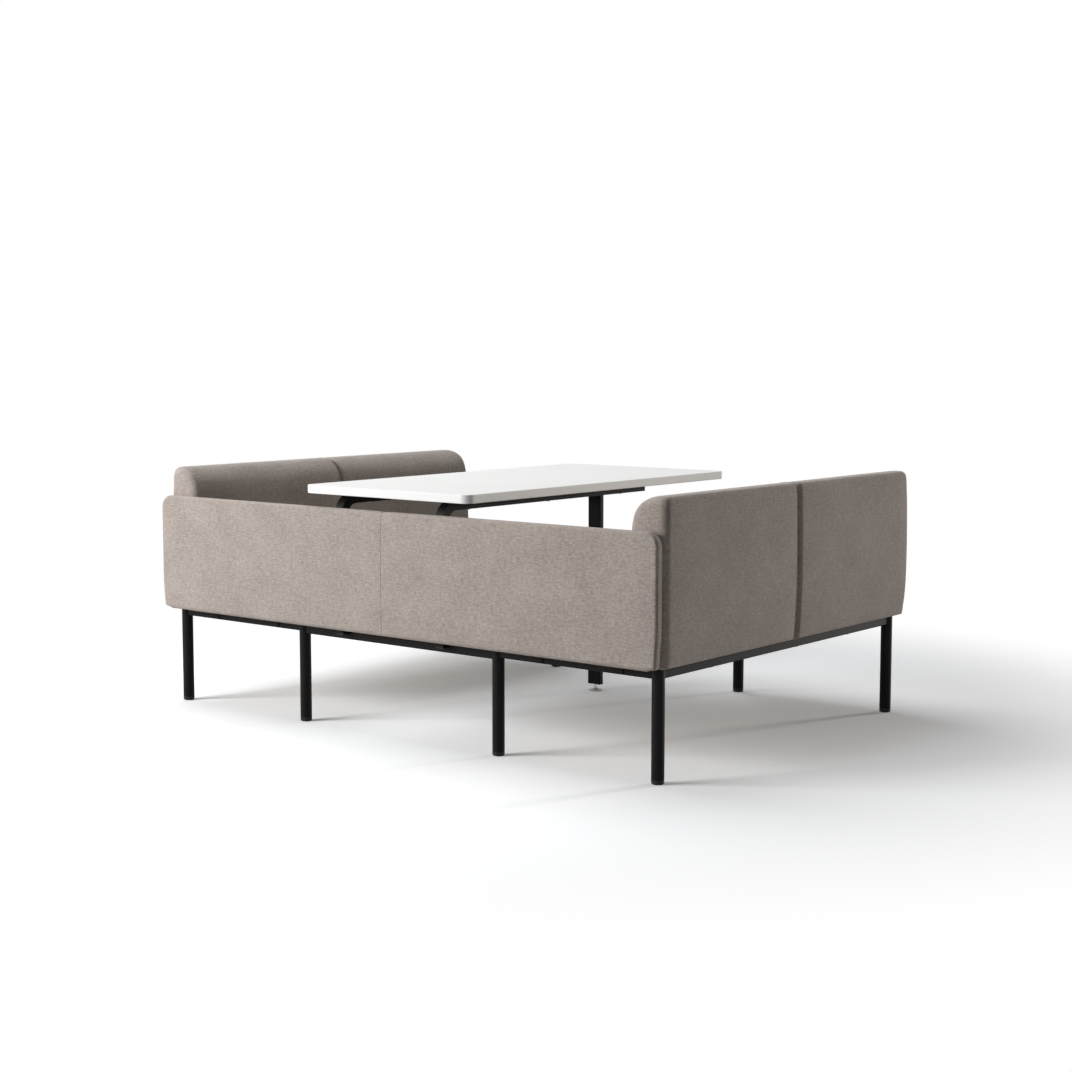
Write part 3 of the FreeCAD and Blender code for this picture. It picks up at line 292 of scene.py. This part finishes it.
def block(form, low, high):
    """A filler block in the foam."""
    for v in bmesh.ops.create_cube(form, size=1.0)["verts"]:
        v.co = Vector((low[i] if v.co[i] < 0 else high[i] for i in range(3)))


def foam(name, node, boards, cell):
    """The foam in a cushion: its solid's form in cells of this size. The pockets of the boards are closed,
    a shallow recess is left for the deck, and hems hide the deck's ends and the panel board's foot."""
    form = bmesh.new()
    form.from_mesh(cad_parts[node].data)
    bmesh.ops.remove_doubles(form, verts=form.verts, dist=WELD)
    own_low, own_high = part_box(node)
    inside = Vector((JOIN_WALL, WALL, 0))
    play = Vector((POCKET_PLAY, POCKET_PLAY, POCKET_PLAY))
    for board in boards:
        board_low, board_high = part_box(board)
        low = Vector(map(max, board_low - play, own_low + inside))
        high = Vector(map(min, board_high + play, own_high - inside))
        is_deck = board.endswith("deck")
        if is_deck:
            low.z = own_low.z + DECK_SEAT
        elif board == "end_panel_board":
            low.z = own_low.z - PANEL_HEM
        block(form, low, high)
        for edge in (board_low.y, board_high.y):
            if is_deck and own_low.y < edge < own_high.y:
                hem_low = (low.x, edge - DECK_HEM / 2, own_low.z)
                block(form, hem_low, (high.x, edge + DECK_HEM / 2, high.z))
    piece = made_of(name, form)
    cells = piece.modifiers.new("cells", "REMESH")
    cells.mode = "VOXEL"
    cells.voxel_size = cell
    settled(piece)
    return piece


COVER_CELL = 0.014
COVER_PRESSURE = 4.0
COVER_QUALITY = 4
COVER_STIFFNESS = 2.0
SETTLE_FRAMES = 20
DRAWN_IN = 0.002
TAKE_UP = 0.001
UNDERSIDE = -0.5
NEIGHBOURS = 48


def swell(node, boards, room):
    """How far a cover that pressure draws tight over the foam rises: a search tree of places, and at each
    the rise and the way it faces. The underside, stapled to the deck, doesn't rise."""
    hide = foam("cover_trial", node, boards, COVER_CELL)
    outs = [v.normal.copy() for v in hide.data.vertices]
    for v, out in zip(hide.data.vertices, outs):
        v.co -= out * DRAWN_IN
    before = [v.co.copy() for v in hide.data.vertices]
    drawn = hide.modifiers.new("cover", "CLOTH")
    drawn.settings.use_pressure = True
    drawn.settings.uniform_pressure_force = COVER_PRESSURE
    drawn.settings.effector_weights.gravity = 0
    drawn.settings.quality = COVER_QUALITY
    drawn.settings.bending_stiffness = COVER_STIFFNESS
    drawn.point_cache.frame_end = SETTLE_FRAMES
    for number in range(1, SETTLE_FRAMES + 1):
        bpy.context.scene.frame_set(number)
    settled(hide)
    bpy.context.scene.frame_set(1)
    tree = KDTree(len(before))
    rises = []
    for number, (v, was, out) in enumerate(zip(hide.data.vertices, before, outs)):
        limit = sum(abs(part) * most for part, most in zip(out, room)) if out.z > UNDERSIDE else 0
        rises.append(max(-TAKE_UP, min(limit, (v.co - was).dot(out))) - DRAWN_IN)
        tree.insert(was, number)
    tree.balance()
    bpy.data.objects.remove(hide)
    return tree, rises, outs


def cover(piece, node, boards, room):
    """Moves the foam's skin as the drawn cover near it that faces the same way, and smooths it."""
    tree, rises, ways = swell(node, boards, room)
    outs = [v.normal.copy() for v in piece.data.vertices]
    for v, out in zip(piece.data.vertices, outs):
        found = tree.find_n(v.co, NEIGHBOURS)
        shares = [max(0.0, out.dot(ways[i])) ** 2 / (gap + COVER_CELL) for _, i, gap in found]
        total = sum(shares)
        if total:
            v.co += out * sum(rises[i] * share for (_, i, _), share in zip(found, shares)) / total
    soft = piece.modifiers.new("soft", "SUBSURF")
    soft.levels = soft.render_levels = 1
    settled(piece)


def roll_off(piece, end_y, reach, depth):
    """Rounds a cushion off towards its end."""
    outs = [v.normal.copy() for v in piece.data.vertices]
    for v, out in zip(piece.data.vertices, outs):
        run = abs(v.co.y - end_y) / reach
        if run < 1:
            fall = depth * (1 - math.sqrt(1 - (1 - run) ** 2))
            v.co -= Vector((out.x, 0, out.z)) * fall


DOWN_OVER_OUT = 2
WELT = 0.0022
WELT_STEP = 3
WELT_SIDES = 8
WELT_FOOT = 0.004
BENCH_RUN = Vector((0, 1, 0))


def ring(piece, y):
    """The line round a cushion at one place along the bench, from its outer foot over the top to its
    inner foot."""
    cut = bmesh.new()
    cut.from_mesh(piece.data)
    found = bmesh.ops.bisect_plane(cut, geom=cut.verts[:] + cut.edges[:] + cut.faces[:],
                                   plane_co=(0, y, 0), plane_no=BENCH_RUN)["geom_cut"]
    links = {}
    for edge in (part for part in found if isinstance(part, bmesh.types.BMEdge)):
        a, b = edge.verts
        links.setdefault(a, []).append(b)
        links.setdefault(b, []).append(a)
    outer_foot = max(links, key=lambda v: v.co.x - DOWN_OVER_OUT * v.co.z)
    line = [outer_foot]
    last = None
    while True:
        onward = [v for v in links[line[-1]] if v is not last and v is not outer_foot]
        onward = [v for v in onward if len(line) > 1 or v.co.z >= max(w.co.z for w in onward)]
        if not onward:
            break
        last = line[-1]
        line.append(onward[0])
    places = [v.co.copy() for v in line]
    cut.free()
    return places


def welt(name, piece, y, foot_z):
    """A corded edge sewn into the cover, as a tube along the ring at that place."""
    line = [p for p in ring(piece, y)[::WELT_STEP] if p.z > foot_z + WELT_FOOT]
    turns = [2 * math.pi * k / WELT_SIDES for k in range(WELT_SIDES)]
    form = bmesh.new()
    hoops = []
    for i, p in enumerate(line):
        run = (line[min(i + 1, len(line) - 1)] - line[max(i - 1, 0)]).normalized()
        out = run.cross(BENCH_RUN)
        spots = [p + WELT * (out * math.cos(t) + BENCH_RUN * math.sin(t)) for t in turns]
        hoops.append([form.verts.new(spot) for spot in spots])
    for one, two in zip(hoops, hoops[1:]):
        for k in range(WELT_SIDES):
            form.faces.new((one[k], one[k - 1], two[k - 1], two[k]))
    form.faces.new(hoops[0])
    form.faces.new(hoops[-1])
    bmesh.ops.recalc_face_normals(form, faces=form.faces)
    return made_of(name, form)


def mirrored(name, piece):
    """The same cushion or welt for the other bench."""
    other = bmesh.new()
    other.from_mesh(piece.data)
    for v in other.verts:
        v.co.x = -v.co.x
    bmesh.ops.reverse_faces(other, faces=other.faces)
    return made_of(name, other)


def clothe(piece):
    """The cover's cloth on a cushion or welt, which rides on the booth."""
    piece.data.materials.clear()
    piece.data.materials.append(cloth)
    for face in piece.data.polygons:
        face.use_smooth = True
    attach(piece, "booth")


def upholster(piece, node):
    """A clothed cushion in place of the solid that it stands for."""
    clothe(piece)
    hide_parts(node)


SEAT_ROOM = (0.004, 0.0035, 0.006)
BACK_ROOM = (0.004, 0.0035, 0.004)
SEAT_FILL = 0.75
BACK_FILL = 0.85
SEAM_ROLL = {
    "near_back": (0.021, 0.009),
    "far_back": (0.020, 0.008),
    "near_seat": (0.014, 0.004),
    "far_seat": (0.016, 0.006),
}
PANEL_SIDE_ROLL = (0.020, 0.008)
WELT_INSET = 0.012

for end in ENDS:
    for kind, room, fill in (("seat", SEAT_ROOM, SEAT_FILL), ("back", BACK_ROOM, BACK_FILL)):
        node = f"{end}_{kind}"
        boards = ["right_deck"] + ([f"right_{end}_back_board"] if kind == "back" else [])
        right = foam(f"right_{node}_cushion", f"right_{node}", boards, FOAM_CELL)
        cover(right, f"right_{node}", boards, room)
        low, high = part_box(f"right_{node}")
        if kind == "seat":
            for v in right.data.vertices:
                v.co.x = min(v.co.x, high.x)
        roll_off(right, low.y if end == "far" else high.y, *SEAM_ROLL[node])
        if node == "near_back":
            roll_off(right, low.y, *PANEL_SIDE_ROLL)
        if end == "near":
            cord = welt(f"right_{node}_welt", right, high.y - WELT_INSET, low.z)
            twin = mirrored(f"left_{node}_welt", cord)
            clothe(cord)
            clothe(twin)
        left = mirrored(f"left_{node}_cushion", right)
        upholster(right, f"right_{node}")
        upholster(left, f"left_{node}")


# End panel. A low plywood panel padded with thin foam and covered in the same cloth, held on brackets
# on the near rails. Its cover has one seam down the middle and one round the back of its edge.
PANEL_ROOM = (0.003, 0.003, 0.003)
SEAM_BAND = 0.009
SEAM_CUTS = 2
SEAM_DEPTH = 0.0014
SEAM_WIDTH = 0.0015
PUCKER_DEPTH = 0.0010
PUCKER_WIDTH = 0.020
PUCKER_REACH = 3 * PUCKER_WIDTH
EDGE_SEAM_INSET = 0.0065
EDGE_LEAN = 0.75
ACROSS_BOOTH = 0
ALONG_BENCH = 1


def seam(piece, axis, place, takes):
    """A sewn seam in the cover: finer mesh along a plane, drawn in to a line with a soft pucker beside it."""
    form = bmesh.new()
    form.from_mesh(piece.data)
    form.normal_update()
    near = {v for v in form.verts if abs(v.co[axis] - place) < SEAM_BAND and takes(v.normal)}
    within = [edge for edge in form.edges if edge.verts[0] in near and edge.verts[1] in near]
    bmesh.ops.subdivide_edges(form, edges=within, cuts=SEAM_CUTS, use_grid_fill=True)
    form.normal_update()
    for v in form.verts:
        gap = abs(v.co[axis] - place)
        if gap < PUCKER_REACH and takes(v.normal):
            v.co -= v.normal * (SEAM_DEPTH * math.exp(-(gap / SEAM_WIDTH) ** 2)
                                + PUCKER_DEPTH * math.exp(-(gap / PUCKER_WIDTH) ** 2))
    form.to_mesh(piece.data)
    form.free()


panel = foam("end_panel_cushion", "end_panel_cover", ["end_panel_board"], FOAM_CELL)
cover(panel, "end_panel_cover", ["end_panel_board"], PANEL_ROOM)
edge_seam_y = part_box("end_panel_cover")[1].y - EDGE_SEAM_INSET
seam(panel, ACROSS_BOOTH, 0.0, lambda out: out.z > UNDERSIDE)
seam(panel, ALONG_BENCH, edge_seam_y, lambda out: abs(out.y) < EDGE_LEAN)
upholster(panel, "end_panel_cover")


# Table. A white laminate top on two bent square-tube arms that rise behind the end panel, and at the open
# end on one flat leg welded under a cross bar. The steel has the frame's black powder coat.
LAMINATE_WHITES = [(0.3, (0.845, 0.85, 0.84)), (0.7, (0.875, 0.88, 0.87))]
TOOTH_DEPTH = 0.0002

laminate, sheet = finish("white_laminate", {"Specular IOR Level": 0.5})
where = sheet.node("TexCoord", {}, {}, "Object")
tooth = sheet.node("TexNoise", {}, {"Vector": where, "Scale": 1200.0, "Detail": 2.0})
haze = sheet.node("TexNoise", {}, {"Vector": where, "Scale": 5.0, "Detail": 3.0})
feed(laminate, {
    "Base Color": sheet.node("ValToRGB", {"stops": LAMINATE_WHITES}, {"Fac": haze}),
    "Roughness": 0.40 + haze * 0.08 + tooth * 0.06,
    "Normal": sheet.node("Bump", {}, {"Strength": 0.08, "Distance": TOOTH_DEPTH, "Height": tooth}),
})
coat(laminate, ["tabletop"])
coat(powder, ["table_arm_left", "table_arm_right", "table_crossbar", "table_leg"])
coat(zinc, ["table_screws", "arm_bolts"])


# Levelling foot of the table leg: a nylon plug in the tube's end, a zinc-plated screw with a hexagon collar,
# and a pale moulded pad that stands on the floor.
PAD_GREYS = [(0.3, (0.66, 0.66, 0.64)), (0.7, (0.76, 0.76, 0.74))]

pale, moulding = finish("pale_pad", {"Specular IOR Level": 0.45})
where = moulding.node("TexCoord", {}, {}, "Object")
flow = moulding.node("TexNoise", {}, {"Vector": where, "Scale": 90.0, "Detail": 3.0})
feed(pale, {
    "Base Color": moulding.node("ValToRGB", {"stops": PAD_GREYS}, {"Fac": flow}),
    "Roughness": 0.40 + flow * 0.15,
})
coat(pale, ["leveller_pad"])
coat(zinc, ["leveller_stem"])
coat(nylon, ["table_leg_plug"])


# Studio. A plain white floor under soft light: one large box in front and to the left, one overhead,
# and a narrow gridded one far behind to the right that skims the outer faces.
FLOOR_HALF = 30.0
SHADOWED_FLOOR = 1.35
WHITE_FLOOR = 2.4
PAPER = (1.17, 1.19, 1.21, 1)
CARPET = (0.4, 0.4, 0.4, 1)
WHITE = (1, 1, 1, 1)
FLOOR_LIFT = 0.10
AIR_LIGHT = 0.14

corners = [(x * FLOOR_HALF, y * FLOOR_HALF, 0) for x, y in ((-1, -1), (1, -1), (1, 1), (-1, 1))]
floor_mesh = bpy.data.meshes.new("studio_floor")
floor_mesh.from_pydata(corners, [], [(0, 1, 2, 3)])
floor = bpy.data.objects.new("studio_floor", floor_mesh)
bpy.context.scene.collection.objects.link(floor)


def pictured_rays(tone):
    """1 for the rays that show in the picture: straight ones, and those off metal or through glass."""
    seen = tone.node("LightPath", {}, {}, "Is Camera Ray")
    mirror_seen = tone.node("LightPath", {}, {}, "Is Glossy Ray")
    glass_seen = tone.node("LightPath", {}, {}, "Is Transmission Ray")
    return tone.math("MINIMUM", seen + mirror_seen + glass_seen, 1.0)


paper = bpy.data.materials.new("studio_paper")
paper.use_nodes = True
paper.node_tree.nodes.clear()
ground = Tone(paper.node_tree)
where = ground.node("NewGeometry", {}, {}, "Position")
distance = ground.node("VectorMath", {"operation": "LENGTH"}, {0: where}, "Value")
away = ground.node("MapRange", {"interpolation_type": "SMOOTHSTEP"}, {
    "Value": distance, "From Min": SHADOWED_FLOOR, "From Max": WHITE_FLOOR})
matt = ground.node("BsdfDiffuse", {}, {"Color": PAPER})
carpet = ground.node("BsdfDiffuse", {}, {"Color": CARPET})
glow = ground.node("Emission", {}, {"Color": WHITE, "Strength": 1.0})
lift = ground.node("Emission", {}, {"Color": WHITE, "Strength": FLOOR_LIFT})
near_floor = ground.node("AddShader", {}, {0: matt, 1: lift})
pictured = ground.node("MixShader", {}, {0: away, 1: near_floor, 2: glow})
upper = ground.node("MixShader", {}, {0: pictured_rays(ground), 1: carpet, 2: pictured})
from_below = ground.node("NewGeometry", {}, {}, "Backfacing")
clear = ground.node("BsdfTransparent", {}, {})
surface = ground.node("MixShader", {}, {0: from_below, 1: upper, 2: clear})
ground.node("OutputMaterial", {}, {"Surface": surface})
floor_mesh.materials.append(paper)

world = bpy.data.worlds.new("studio_air")
bpy.context.scene.world = world
world.use_nodes = True
world.node_tree.nodes.clear()
air = Tone(world.node_tree)
dim = air.node("Background", {}, {"Color": WHITE, "Strength": AIR_LIGHT})
white = air.node("Background", {}, {"Color": WHITE, "Strength": 1.0})
backdrop = air.node("MixShader", {}, {0: pictured_rays(air), 1: dim, 2: white})
air.node("OutputWorld", {}, {"Surface": backdrop})


def softbox(name, place, aim, size, power, colour=(1.0, 1.0, 1.0), beam=180.0):
    """A square studio light at one place, turned towards another."""
    lamp = bpy.data.lights.new(name, "AREA")
    lamp.shape = "SQUARE"
    lamp.size = size
    lamp.energy = power
    lamp.color = colour
    lamp.spread = math.radians(beam)
    holder = bpy.data.objects.new(name, lamp)
    bpy.context.scene.collection.objects.link(holder)
    holder.location = place
    holder.visible_camera = False
    holder.rotation_euler = (Vector(aim) - Vector(place)).to_track_quat("-Z", "Y").to_euler()


softbox("left_front_box", place=(-3.2, -4.9, 2.3), aim=(0.0, -0.4, 0.4), size=2.8, power=338)
softbox("overhead_box", place=(-1.2, 0.3, 4.0), aim=(-0.2, 0.0, 0.4), size=3.0, power=76)
softbox("right_box", place=(4.0, 8.0, 1.4), aim=(0.9, -0.2, 0.45), size=1.2, power=6.6,
        colour=(1.0, 0.95, 0.90), beam=20.0)


# Camera. It stands off the right corner of the closed end, higher than the backs, and looks slightly
# down, at the photograph's viewing angle.
LENS = 61.66
SENSOR = 36.0
STAND = (3.6352, -4.4810, 1.1331)
PITCH = 5.839
TURN = 38.893

view = bpy.data.cameras.new("camera")
view.lens = LENS
view.sensor_width = SENSOR
camera = bpy.data.objects.new("camera", view)
bpy.context.scene.collection.objects.link(camera)
camera.location = STAND
camera.rotation_euler = (math.radians(90 - PITCH), 0, math.radians(TURN))
bpy.context.scene.camera = camera
bpy.context.scene.view_settings.view_transform = "Standard"
